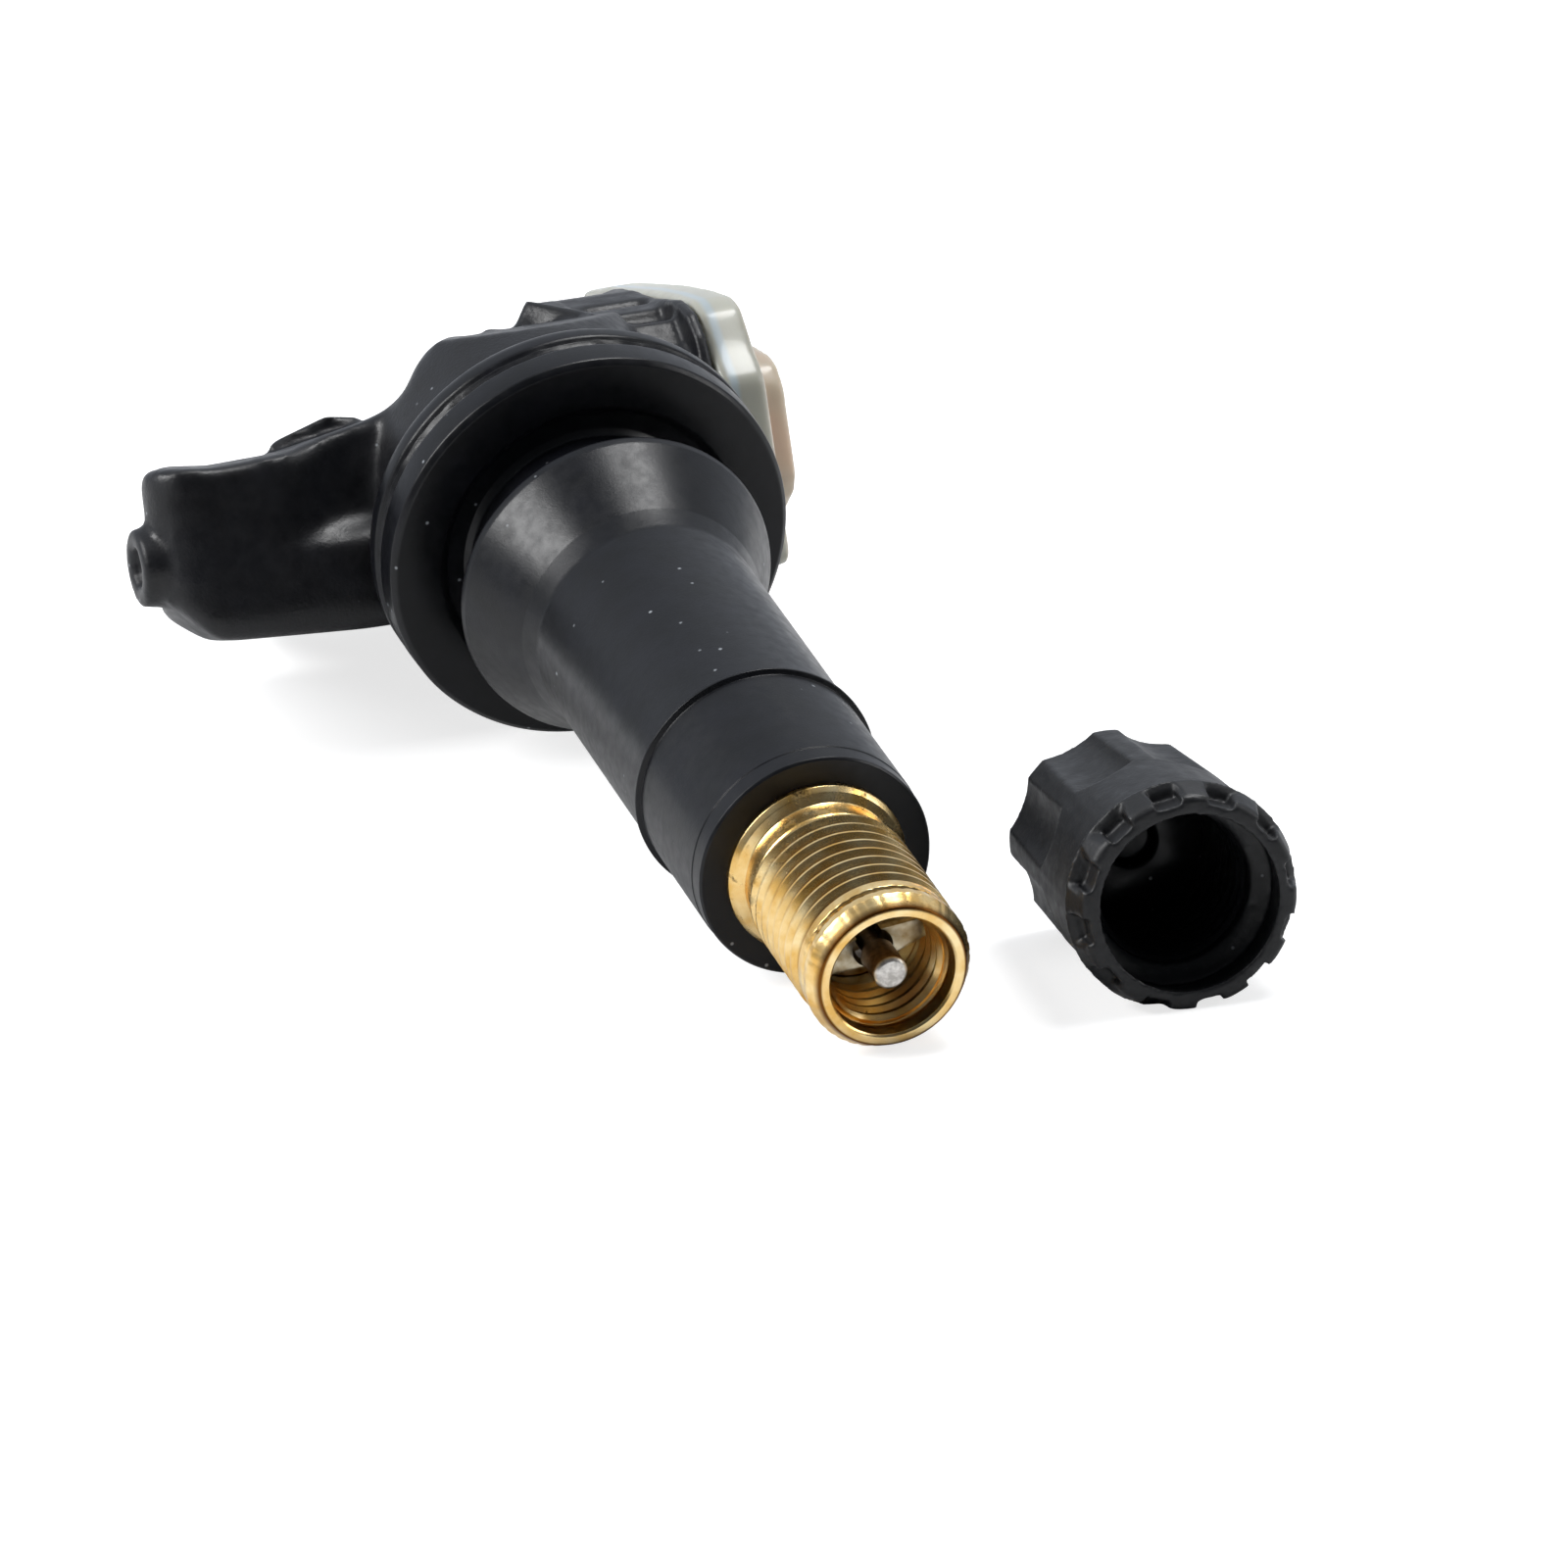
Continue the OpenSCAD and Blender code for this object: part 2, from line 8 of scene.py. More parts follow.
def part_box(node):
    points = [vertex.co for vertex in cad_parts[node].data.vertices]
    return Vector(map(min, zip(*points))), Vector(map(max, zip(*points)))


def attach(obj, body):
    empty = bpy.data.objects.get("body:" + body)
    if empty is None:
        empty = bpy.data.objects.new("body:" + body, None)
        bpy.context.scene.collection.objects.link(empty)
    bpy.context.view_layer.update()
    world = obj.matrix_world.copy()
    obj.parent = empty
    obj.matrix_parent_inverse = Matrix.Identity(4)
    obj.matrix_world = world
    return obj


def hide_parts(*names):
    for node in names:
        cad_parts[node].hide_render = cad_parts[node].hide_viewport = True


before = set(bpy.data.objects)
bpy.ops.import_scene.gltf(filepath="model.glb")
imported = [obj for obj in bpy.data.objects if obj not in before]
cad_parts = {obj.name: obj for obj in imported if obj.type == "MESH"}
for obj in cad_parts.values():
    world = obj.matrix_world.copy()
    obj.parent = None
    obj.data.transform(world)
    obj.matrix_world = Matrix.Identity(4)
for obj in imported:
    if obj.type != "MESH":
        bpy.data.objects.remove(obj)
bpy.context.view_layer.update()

# All sizes are in millimetres until they are scaled by MM
MM = 0.001
SENSOR = "sensor"
PIN = "valve_pin"

# Stem, measured from the rim seat toward the mouth
STEM_LEN = 42.9
RUBBER_LEN = 32.3
FLANGE_R = 9.76
FLANGE_T = 4.2
BOSS_LEN = 1.8
BOSS_R = 6.2
NECK_R = 5.8
RIM_T = 3.3
BULB_R = 7.54
CONE_LEN = 5.0
SLEEVE_R = 5.48
STEP_AT = 24.0
TUBE_R = 3.2
SHOULDER_R = 4.2
SHOULDER_LEN = 1.2
THREAD_R = 3.85
THREAD_DEPTH = 0.42
THREAD_PITCH = 0.794
THREAD_LOW = 34.1
CORE_THREAD_R = 2.65
CORE_PITCH = 0.706
MOUTH_R = 2.91
MOUTH_DEPTH = 0.9
PIN_TOP = 42.65
# The cutter's chatter marks lie on the bevel at the mouth, between these two distances
CHATTER_FROM = 41.2
CHATTER_TO = 42.6
CHATTER_MARKS = 38

# Valve core: the strap is the part of the plug beyond PLUG_SPLIT, made narrower outside the pin's hole,
# flatter, sunk in the mouth and turned
PLUG_SPLIT = STEM_LEN - 2.3
PIN_HOLE_R = 1.1
STRAP_WIDTH = 0.62
STRAP_HEIGHT = 0.75
STRAP_SINK = 1.7
STRAP_TURN = math.radians(-15.0)

# Cap, measured from its closed end toward its mouth. The closed end lies CAP_SHEAR off the line of
# the bore, and the barrel is fuller outside CAP_WALL_R and below the notched collar
CAP_LEN = 12.5
CAP_BORE_R = 3.55
CAP_WALL_R = 3.9
CAP_COLLAR_LEN = 1.45
CAP_MOUTH = Vector((13.9, -42.9, 1.2))
CAP_TILT = math.radians(78.8)
CAP_SWING = math.radians(-3.9)
CAP_SHEAR = Vector((-0.32, 0.0, -0.12))
CAP_VOXEL = 0.11

# Moulded body, which starts behind the stem's flange and leans back
BODY_Y = 7.1
LEAN = math.radians(26.0)
BODY_VOXEL = 0.21
# The arm is drawn in a little toward ARM_ROOT, and what is below UNDERSIDE is lowered
ARM_ROOT = -9.0
ARM_SCALE = 0.985
UNDERSIDE = -2.0
UNDERSIDE_DROP = 0.22
# The nub on the arm's end, in depth and height, stays crisp
NUB_AT = (2.8, -1.15)
NUB_CLEAR = 2.4
NUB_FROM = -17.0

# Cover: the plate and its step, measured across the body
PLATE_FROM = 9.0
PLATE_TO = 11.3
STEP_FROM = 11.2
STEP_TO = 13.0
COVER_VOXEL = 0.2

# Floor through the stem's tip and the housing's lower rear edge, which is how the sensor lies
FLOOR_TIP = Vector((0.0, -42.6, -3.87))
FLOOR_TILT = math.radians(-9.25)
FLOOR_R = 260.0

# Camera of the photograph
CAM_PLACE = Vector((-172.94, -535.94, 295.13))
CAM_BACK = Vector((-0.28281, -0.83075, 0.47946))
CAM_LENS = 313.2


def rgb(text):
    """An sRGB hex colour as linear RGBA."""
    part = [int(text[i:i + 2], 16) / 255 for i in (1, 3, 5)]
    return [c / 12.92 if c <= 0.04045 else ((c + 0.055) / 1.055) ** 2.4 for c in part] + [1.0]


def add(tree, kind, links=(), **settings):
    """Adds one node. Settings are sockets by name with spaces as underscores, or node properties."""
    n = tree.nodes.new(kind)
    for key, value in settings.items():
        if hasattr(n, key):
            setattr(n, key, value)
    for key, value in settings.items():
        if not hasattr(n, key):
            name = key.replace("_", " ")
            n.inputs[int(key[1:]) if key[1:].isdigit() else name].default_value = value
    for source, target in links:
        tree.links.new(source, n.inputs[target])
    return n


def new_material(name, **sockets):
    """A material with its Principled shader, whose constants sit on the shader's own sockets."""
    m = bpy.data.materials.new(name)
    m.use_nodes = True
    shader = m.node_tree.nodes["Principled BSDF"]
    for key, value in sockets.items():
        shader.inputs[key.replace("_", " ")].default_value = value
    return m, m.node_tree, shader


def object_place(tree):
    """Object coordinates, on which every pattern lies."""
    return add(tree, "ShaderNodeTexCoord").outputs["Object"]


def bump_into(tree, shader, heights):
    """Chains bump nodes of (height socket, strength, distance in mm) into the shader's normal."""
    last = None
    for height, strength, distance in heights:
        links = [(height, "Height")]
        if last:
            links.append((last, "Normal"))
        bump = add(tree, "ShaderNodeBump", links, Strength=strength, Distance=distance * MM)
        last = bump.outputs["Normal"]
    tree.links.new(last, shader.inputs["Normal"])


def specks(tree, place, grain_mm, amount):
    """A mask of scattered specks, one where a speck lies."""
    cells = add(tree, "ShaderNodeTexVoronoi", [(place, "Vector")], Scale=1 / (grain_mm * MM), Randomness=1.0)
    size = add(tree, "ShaderNodeMapRange", [(cells.outputs["Distance"], "Value")],
               i1=0.05, i2=0.14, i3=1.0, i4=0.0)
    pick = add(tree, "ShaderNodeSeparateColor", [(cells.outputs["Color"], "Color")])
    some = add(tree, "ShaderNodeMath", [(pick.outputs["Red"], 0)], operation="LESS_THAN", i1=amount)
    return add(tree, "ShaderNodeMath", [(size.outputs[0], 0), (some.outputs[0], 1)],
               operation="MULTIPLY").outputs[0]


def mix_color(tree, fac, low, high):
    """Mixes two colours, either of which may be a socket."""
    n = add(tree, "ShaderNodeMix", data_type="RGBA")
    for value, index in ((fac, 0), (low, 6), (high, 7)):
        if isinstance(value, bpy.types.NodeSocket):
            tree.links.new(value, n.inputs[index])
        else:
            n.inputs[index].default_value = value
    return n.outputs[2]


def ramp(tree, value, low, high, out_low=0.0, out_high=1.0):
    """A value from low to high spread over the outputs, and clamped there."""
    n = add(tree, "ShaderNodeMapRange", [(value, "Value")], i1=low, i2=high, i3=out_low, i4=out_high)
    return n.outputs[0]


def noise_of(tree, place, size_mm, detail=3.0, rough=0.5):
    """Soft noise whose patches are about size_mm across."""
    return add(tree, "ShaderNodeTexNoise", [(place, "Vector")], Scale=1 / (size_mm * MM),
               Detail=detail, Roughness=rough).outputs["Fac"]


def moulded_rubber():
    """EPDM rubber, compression moulded: nearly black, satin, with mould grain and pale dust."""
    m, t, s = new_material("moulded_epdm_rubber", IOR=1.35)
    place = object_place(t)
    tone = ramp(t, noise_of(t, place, 1.8, 4.0), 0.35, 0.7)
    base = mix_color(t, tone, rgb("#07080b"), rgb("#0d0e13"))
    dust = specks(t, place, 0.8, 0.16)
    t.links.new(mix_color(t, dust, base, rgb("#8b8f93")), s.inputs["Base Color"])
    t.links.new(ramp(t, noise_of(t, place, 0.6), 0.3, 0.75, 0.28, 0.4), s.inputs["Roughness"])
    bump_into(t, s, [(noise_of(t, place, 0.12, 2.0), 0.25, 0.015), (noise_of(t, place, 1.4), 0.2, 0.04)])
    return m


def turned_brass():
    """Turned free-cutting brass: golden, fine tool rings, painted shade in the thread roots, dark dirt near
    the neck.
    """
    m, t, s = new_material("turned_brass", Metallic=1.0)
    place = object_place(t)
    axis = add(t, "ShaderNodeSeparateXYZ", [(place, "Vector")]).outputs["Y"]
    # Tool rings are about 0.03 mm apart on the real stem and drawn at 0.1 mm so that they show
    rings = add(t, "ShaderNodeTexWave", [(place, "Vector")], wave_type="BANDS", bands_direction="Y",
                Scale=1.0 / (0.1 * 20 * MM) * 2, Distortion=1.2, Detail=2.0)
    tone = ramp(t, noise_of(t, place, 1.2, 4.0), 0.35, 0.7)
    bright = mix_color(t, tone, rgb("#e2b565"), rgb("#fae3ad"))
    flat = add(t, "ShaderNodeVectorMath", [(place, 0)], operation="MULTIPLY", i1=(1.0, 0.0, 1.0)).outputs[0]
    radius = add(t, "ShaderNodeVectorMath", [(flat, 0)], operation="LENGTH").outputs["Value"]
    # Painted shade: the thread's roots, between these radii on the threaded length, are drawn in a darker
    # brass
    root = ramp(t, radius, 3.62 * MM, 3.46 * MM)
    outside = ramp(t, radius, 3.3 * MM, 3.38 * MM)
    on_thread = ramp(t, axis, -34.0 * MM, -34.3 * MM)
    roots = add(t, "ShaderNodeMath", [(root, 0), (outside, 1)], operation="MULTIPLY").outputs[0]
    painted_root_shade = add(t, "ShaderNodeMath", [(roots, 0), (on_thread, 1)], operation="MULTIPLY").outputs[0]
    base = mix_color(t, painted_root_shade, bright, rgb("#6e4418"))
    stain = ramp(t, noise_of(t, place, 0.9, 5.0, 0.65), 0.56, 0.68)
    near_neck = ramp(t, axis, -36.2 * MM, -33.4 * MM)
    dirt = add(t, "ShaderNodeMath", [(stain, 0), (near_neck, 1)], operation="MULTIPLY").outputs[0]
    spots = specks(t, place, 0.7, 0.05)
    all_dirt = add(t, "ShaderNodeMath", [(dirt, 0), (spots, 1)], operation="MAXIMUM").outputs[0]
    t.links.new(mix_color(t, all_dirt, base, rgb("#3a2c18")), s.inputs["Base Color"])
    t.links.new(ramp(t, all_dirt, 0.0, 1.0, 0.27, 0.6), s.inputs["Roughness"])
    bump_into(t, s, [(rings.outputs["Fac"], 0.12, 0.01), (noise_of(t, place, 0.5), 0.15, 0.02)])
    return m


def dull_brass():
    """Brass of the valve core, turned small and gone dull and grey at its edges."""
    m, t, s = new_material("dull_core_brass", Metallic=1.0, Roughness=0.35)
    place = object_place(t)
    tone = ramp(t, noise_of(t, place, 0.6, 4.0), 0.35, 0.7)
    t.links.new(mix_color(t, tone, rgb("#8d7a58"), rgb("#c3bba6")), s.inputs["Base Color"])
    bump_into(t, s, [(noise_of(t, place, 0.15), 0.3, 0.02)])
    return m


def pin_steel():
    """Plated pin: a silver-grey cut end face over a bronze-brown shaft."""
    m, t, s = new_material("plated_pin", Metallic=1.0, Roughness=0.38)
    place = object_place(t)
    axis = add(t, "ShaderNodeSeparateXYZ", [(place, "Vector")]).outputs["Y"]
    face = ramp(t, axis, -(PIN_TOP - 0.25) * MM, -(PIN_TOP - 0.1) * MM)
    grain = ramp(t, noise_of(t, place, 0.25, 3.0), 0.35, 0.65)
    shaft = mix_color(t, grain, rgb("#6b533c"), rgb("#8a6f52"))
    silver = mix_color(t, grain, rgb("#a9a5a0"), rgb("#d8d5d0"))
    t.links.new(mix_color(t, face, shaft, silver), s.inputs["Base Color"])
    bump_into(t, s, [(noise_of(t, place, 0.12), 0.5, 0.02)])
    return m


def moulded_plastic(name, dark, light, grain_mm, rough):
    """Injection-moulded black plastic with a fine sandy grain, a soft sheen and a little dust."""
    m, t, s = new_material(name, Roughness=rough, IOR=1.42)
    place = object_place(t)
    tone = ramp(t, noise_of(t, place, 2.5, 4.0), 0.35, 0.7)
    base = mix_color(t, tone, rgb(dark), rgb(light))
    dust = specks(t, place, 0.75, 0.05)
    t.links.new(mix_color(t, dust, base, rgb("#6d7074")), s.inputs["Base Color"])
    t.links.new(ramp(t, noise_of(t, place, 0.7), 0.3, 0.75, rough - 0.06, rough + 0.1), s.inputs["Roughness"])
    bump_into(t, s, [(noise_of(t, place, grain_mm, 2.0), 0.5, 0.03)])
    return m


def natural_nylon():
    """Natural nylon for laser welding: milky, a little green, and warm where the step stands thick."""
    m, t, s = new_material("natural_nylon", Roughness=0.33, IOR=1.52, Subsurface_Weight=0.5,
                           Subsurface_Scale=1.2 * MM, Coat_Weight=0.15)
    s.inputs["Subsurface Radius"].default_value = (1.0, 0.85, 0.7)
    place = object_place(t)
    along = add(t, "ShaderNodeSeparateXYZ", [(place, "Vector")]).outputs["X"]
    step = ramp(t, along, 11.0 * MM, 11.6 * MM)
    cloud = ramp(t, noise_of(t, place, 5.0, 2.0), 0.35, 0.65)
    milk = mix_color(t, cloud, rgb("#939389"), rgb("#a6a69b"))
    warm = mix_color(t, cloud, rgb("#b8ac99"), rgb("#c6aa94"))
    weld_from, weld_to = ramp(t, along, 9.35 * MM, 9.55 * MM), ramp(t, along, 9.95 * MM, 9.75 * MM)
    weld = add(t, "ShaderNodeMath", [(weld_from, 0), (weld_to, 1)], operation="MULTIPLY").outputs[0]
    plate = mix_color(t, weld, milk, rgb("#98a2a6"))
    t.links.new(mix_color(t, step, plate, warm), s.inputs["Base Color"])
    bump_into(t, s, [(noise_of(t, place, 0.4), 0.15, 0.03)])
    return m


def plain(name, color, **sockets):
    """A small inner piece: one colour broken by fine noise."""
    m, t, s = new_material(name, **sockets)
    place = object_place(t)
    tone = ramp(t, noise_of(t, place, 0.8, 3.0), 0.3, 0.7)
    darker = [c * 0.8 for c in rgb(color)[:3]] + [1.0]
    t.links.new(mix_color(t, tone, darker, rgb(color)), s.inputs["Base Color"])
    bump_into(t, s, [(noise_of(t, place, 0.2), 0.2, 0.02)])
    return m


RUBBER = moulded_rubber()
BRASS = turned_brass()
CORE_BRASS = dull_brass()
PIN_METAL = pin_steel()
# Glass-filled nylon of the housing
HOUSING = moulded_plastic("glass_filled_nylon", "#0b0b0e", "#121317", 0.16, 0.4)
# Polypropylene of the valve cap
CAP = moulded_plastic("cap_polypropylene", "#0c0d0f", "#131417", 0.2, 0.46)
COVER = natural_nylon()
# Nickel-plated steel of the screw, the spring, the cell with its tabs and the crystal's can
STEEL = plain("nickel_plated_steel", "#b9bbbe", Metallic=1.0, Roughness=0.3)
# Glass-epoxy board under green solder mask
BOARD = plain("solder_masked_board", "#1f6a3a", Roughness=0.35)
# Grey epoxy that the pressure chip is moulded in
CHIP = plain("moulded_chip_package", "#4a4c50", Roughness=0.5)
# Fired tan ceramic of the chip capacitors
CERAMIC = plain("fired_ceramic", "#b48f62", Roughness=0.4)
# Enamelled copper wire of the coil and the antenna
COPPER = plain("enamelled_copper", "#b5673a", Metallic=1.0, Roughness=0.35)
# White PTFE of the core's sleeve seal and the port's filter
PTFE = plain("ptfe_white", "#e4e0d6", Roughness=0.45)


def place_piece(obj, body, slot, *nodes):
    """Every piece rides on its body and stands for its CAD nodes, which are hidden; its slot is not used."""
    if nodes:
        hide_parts(*nodes)
    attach(obj, body)
    return obj


def finish_mesh(obj, bevel_mm=0.0):
    """Bevels the sharp edges, applies every modifier and shades smooth with hard edges kept."""
    if bevel_mm:
        b = obj.modifiers.new("edge_round", "BEVEL")
        b.width = bevel_mm * MM
        b.segments = 2
        b.limit_method = "ANGLE"
        b.angle_limit = math.radians(30)
        b.use_clamp_overlap = True
        b.harden_normals = False
    apply_all(obj)
    for p in obj.data.polygons:
        p.use_smooth = True
    obj.data.set_sharp_from_angle(angle=math.radians(38))


def apply_all(obj):
    """Turns the evaluated object into a plain mesh and clears its modifiers."""
    graph = bpy.context.evaluated_depsgraph_get()
    made = bpy.data.meshes.new_from_object(obj.evaluated_get(graph))
    made.name = obj.name
    obj.modifiers.clear()
    obj.data = made


def new_object(name, mesh, material):
    """Puts a mesh in the scene with one material."""
    obj = bpy.data.objects.new(name, mesh)
    bpy.context.scene.collection.objects.link(obj)
    mesh.materials.clear()
    mesh.materials.append(material)
    return obj


def dressed_copy(node, name, material, bevel_mm):
    """A copy of a CAD node, its flat faces joined and its edges rounded as a mould or tool leaves them."""
    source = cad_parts[node]
    bm = bmesh.new()
    bm.from_mesh(source.data)
    bmesh.ops.remove_doubles(bm, verts=bm.verts, dist=0.002 * MM)
    bmesh.ops.dissolve_limit(bm, angle_limit=math.radians(1.0), verts=bm.verts, edges=bm.edges)
    mesh = bpy.data.meshes.new(name)
    bm.to_mesh(mesh)
    bm.free()
    obj = new_object(name, mesh, material)
    finish_mesh(obj, bevel_mm)
    return obj


def lathe(name, outline, material, sides, wobble=None):
    """Turns a closed outline of (radius, distance) round the stem's axis, which runs to minus Y."""
    bm = bmesh.new()
    rings = []
    for k in range(sides):
        a = 2 * math.pi * k / sides
        ring = []
        for r, d in outline:
            extra = wobble(r, d, a) if wobble else 0.0
            ring.append(bm.verts.new((math.sin(a) * (r + extra) * MM, -d * MM,
                                      math.cos(a) * (r + extra) * MM)))
        rings.append(ring)
    count = len(outline)
    for k in range(sides):
        for i in range(count):
            j = (i + 1) % count
            after = rings[(k + 1) % sides]
            bm.faces.new((rings[k][i], after[i], after[j], rings[k][j]))
    bmesh.ops.recalc_face_normals(bm, faces=bm.faces)
    mesh = bpy.data.meshes.new(name)
    bm.to_mesh(mesh)
    bm.free()
    return new_object(name, mesh, material)


def rounded(outline, radius, steps=3):
    """The closed outline with its corners rounded; a third value in a point is its own radius."""
    made = []
    n = len(outline)
    for i in range(n):
        a, b, c = (Vector(outline[(i + k) % n][:2]) for k in (-1, 0, 1))
        r = outline[i][2] if len(outline[i]) > 2 else radius
        u, v = a - b, c - b
        lu, lv = u.length, v.length
        turn = math.pi - u.angle(v)
        if r <= 0 or turn < 0.05:
            made.append((b.x, b.y))
            continue
        reach = min(r * math.tan(turn / 2), lu * 0.45, lv * 0.45)
        s, e = b + u * (reach / lu), b + v * (reach / lv)
        for k in range(steps + 1):
            w = k / steps
            p = s * (1 - w) ** 2 + b * 2 * w * (1 - w) + e * w * w
            made.append((p.x, p.y))
    return made


def helix_tree(name):
    """Geometry Nodes for one screw thread: a helix that carries a ridge with a narrow crest."""
    tree = bpy.data.node_groups.new(name, "GeometryNodeTree")
    face = tree.interface
    for label, kind in (("Turns", "NodeSocketFloat"), ("Radius", "NodeSocketFloat"),
                        ("Height", "NodeSocketFloat"), ("Depth", "NodeSocketFloat"),
                        ("Half width", "NodeSocketFloat"), ("Material", "NodeSocketMaterial")):
        face.new_socket(name=label, in_out="INPUT", socket_type=kind)
    face.new_socket(name="Geometry", in_out="OUTPUT", socket_type="NodeSocketGeometry")
    given = add(tree, "NodeGroupInput").outputs
    spiral = add(tree, "GeometryNodeCurveSpiral", [
        (given["Turns"], "Rotations"), (given["Radius"], "Start Radius"), (given["Radius"], "End Radius"),
        (given["Height"], "Height")], Resolution=110)
    upright = add(tree, "GeometryNodeSetCurveNormal", [(spiral.outputs["Curve"], "Curve")], mode="Z_UP")
    along = add(tree, "GeometryNodeSplineParameter").outputs["Factor"]
    # The ridge runs out to almost nothing over the first and last 6 % of its length
    away = add(tree, "ShaderNodeMath", [(along, 1)], operation="SUBTRACT", i0=1.0).outputs[0]
    nearer = add(tree, "ShaderNodeMath", [(along, 0), (away, 1)], operation="MINIMUM").outputs[0]
    fade = ramp(tree, nearer, 0.0, 0.06, 0.05, 1.0)

    def times(source, factor):
        return add(tree, "ShaderNodeMath", [(source, 0)], operation="MULTIPLY", i1=factor).outputs[0]

    ridge = add(tree, "GeometryNodeCurvePrimitiveQuadrilateral", mode="POINTS")
    outward, wide = given["Depth"], given["Half width"]
    # Four corners of the ridge: its two feet, and a narrow crest between them
    for target, reach, side in ((7, 0.0, -1.0), (8, -1.0, -0.16), (9, -1.0, 0.16), (10, 0.0, 1.0)):
        point = add(tree, "ShaderNodeCombineXYZ", [(times(outward, reach), "X"), (times(wide, side), "Y")])
        tree.links.new(point.outputs[0], ridge.inputs[target])
    sweep = add(tree, "GeometryNodeCurveToMesh", [
        (upright.outputs["Curve"], "Curve"), (ridge.outputs["Curve"], "Profile Curve")], Fill_Caps=True)
    if "Scale" in sweep.inputs:
        tree.links.new(fade, sweep.inputs["Scale"])
    solid = add(tree, "GeometryNodeRealizeInstances", [(sweep.outputs["Mesh"], "Geometry")])
    painted = add(tree, "GeometryNodeSetMaterial", [
        (solid.outputs["Geometry"], "Geometry"), (given["Material"], "Material")])
    add(tree, "NodeGroupOutput", [(painted.outputs["Geometry"], "Geometry")])
    return tree


HELIX = helix_tree("screw_thread")


def helix(name, radius, depth, pitch, low, high, material, fill=0.46):
    """One thread from low to high along the local Z axis; a negative depth cuts inward from a bore."""
    obj = new_object(name, bpy.data.meshes.new(name), material)
    run = obj.modifiers.new("thread", "NODES")
    run.node_group = HELIX
    values = {"Turns": (high - low) / pitch, "Radius": radius * MM, "Height": (high - low) * MM,
              "Depth": depth * MM, "Half width": pitch * fill * MM, "Material": material}
    for item in HELIX.interface.items_tree:
        if item.in_out == "INPUT":
            run[item.identifier] = values[item.name]
    apply_all(obj)
    obj.data.transform(Matrix.Translation((0, 0, low * MM)))
    bm = bmesh.new()
    bm.from_mesh(obj.data)
    bmesh.ops.remove_doubles(bm, verts=bm.verts, dist=0.0005 * MM)
    bmesh.ops.recalc_face_normals(bm, faces=bm.faces)
    bm.to_mesh(obj.data)
    bm.free()
    for p in obj.data.polygons:
        p.use_smooth = True
    obj.data.set_sharp_from_angle(angle=math.radians(40))
    return obj


def onto_stem(obj):
    """Turns a piece made along Z so that it runs along the stem toward the mouth."""
    obj.data.transform(Matrix.Rotation(math.radians(90), 4, "X"))
    return obj


def cap_matrix():
    """From the cap's own frame, with Z up from its closed end, to where it lies."""
    turn = Matrix.Rotation(CAP_SWING, 4, "Z") @ Matrix.Rotation(CAP_TILT, 4, "X")
    return Matrix.Translation(CAP_MOUTH * MM) @ turn @ Matrix.Translation((0, 0, -CAP_LEN * MM))


def onto_cap(obj):
    """Puts a piece made along Z, from the cap's closed end, where the cap lies."""
    obj.data.transform(cap_matrix())
    return obj


def flash(r, d, a):
    """Torn flash and small dents round the flange, as the mould's parting line leaves them."""
    band = max(0.0, 1 - abs(d + FLANGE_T * 0.5) / 0.5) if r > FLANGE_R - 0.6 else 0.0
    rough = noise.noise(Vector((math.cos(a) * 14, math.sin(a) * 14, d * 3)))
    slow = noise.noise(Vector((math.cos(a) * 3, math.sin(a) * 3, d * 0.2)))
    return 0.09 * band * rough + 0.02 * slow


def rubber_stem():
    """The snap-in rubber: boss, flange with its mould line, rim groove, bulb and sleeve."""
    groove_r = FLANGE_R * 0.71
    outline = rounded([
        (TUBE_R, -FLANGE_T - BOSS_LEN), (BOSS_R, -FLANGE_T - BOSS_LEN), (BOSS_R, -FLANGE_T),
        (FLANGE_R - 0.7, -FLANGE_T, 0.9), (FLANGE_R, -FLANGE_T + 0.7, 0.9), (FLANGE_R, -FLANGE_T * 0.62, 0.3),
        (FLANGE_R - 0.24, -FLANGE_T * 0.56), (FLANGE_R - 0.08, -FLANGE_T * 0.53, 0.02),
        (FLANGE_R - 0.26, -FLANGE_T * 0.47), (FLANGE_R, -FLANGE_T * 0.4, 0.3),
        (FLANGE_R - 0.05, -0.25, 0.2), (FLANGE_R - 0.3, 0, 0.2), (groove_r + 0.35, 0, 0.2),
        (groove_r, -0.3, 0.2), (NECK_R + 0.3, -0.3, 0.1), (NECK_R, 0, 0.3), (NECK_R, RIM_T - 0.3, 0.3),
        (NECK_R + 0.3, RIM_T, 0.2), (BULB_R - 0.35, RIM_T, 0.2), (BULB_R, RIM_T + 0.35, 0.3),
        (BULB_R - 0.08, RIM_T + 0.8, 0.5), (SLEEVE_R + 0.35, RIM_T + CONE_LEN - 0.6, 0.9),
        (SLEEVE_R, RIM_T + CONE_LEN + 0.6, 1.2), (SLEEVE_R, STEP_AT - 0.5, 0.2),
        (SLEEVE_R + 0.24, STEP_AT - 0.15, 0.08), (SLEEVE_R + 0.24, STEP_AT, 0.06),
        (SLEEVE_R, STEP_AT + 0.1, 0.05), (SLEEVE_R, RUBBER_LEN - 1.1, 0.02),
        (SLEEVE_R - 0.04, RUBBER_LEN - 1.04, 0.02), (SLEEVE_R - 0.04, RUBBER_LEN - 0.12, 0.06),
        (SLEEVE_R - 0.14, RUBBER_LEN, 0.05), (SHOULDER_R, RUBBER_LEN, 0.0),
        (SHOULDER_R, RUBBER_LEN - SHOULDER_LEN, 0.0), (TUBE_R, RUBBER_LEN - SHOULDER_LEN, 0.0)], 0.08)
    obj = lathe("snap_in_rubber", outline, RUBBER, 256, flash)
    finish_mesh(obj)
    return place_piece(obj, SENSOR, "rubber", "rubber_stem")


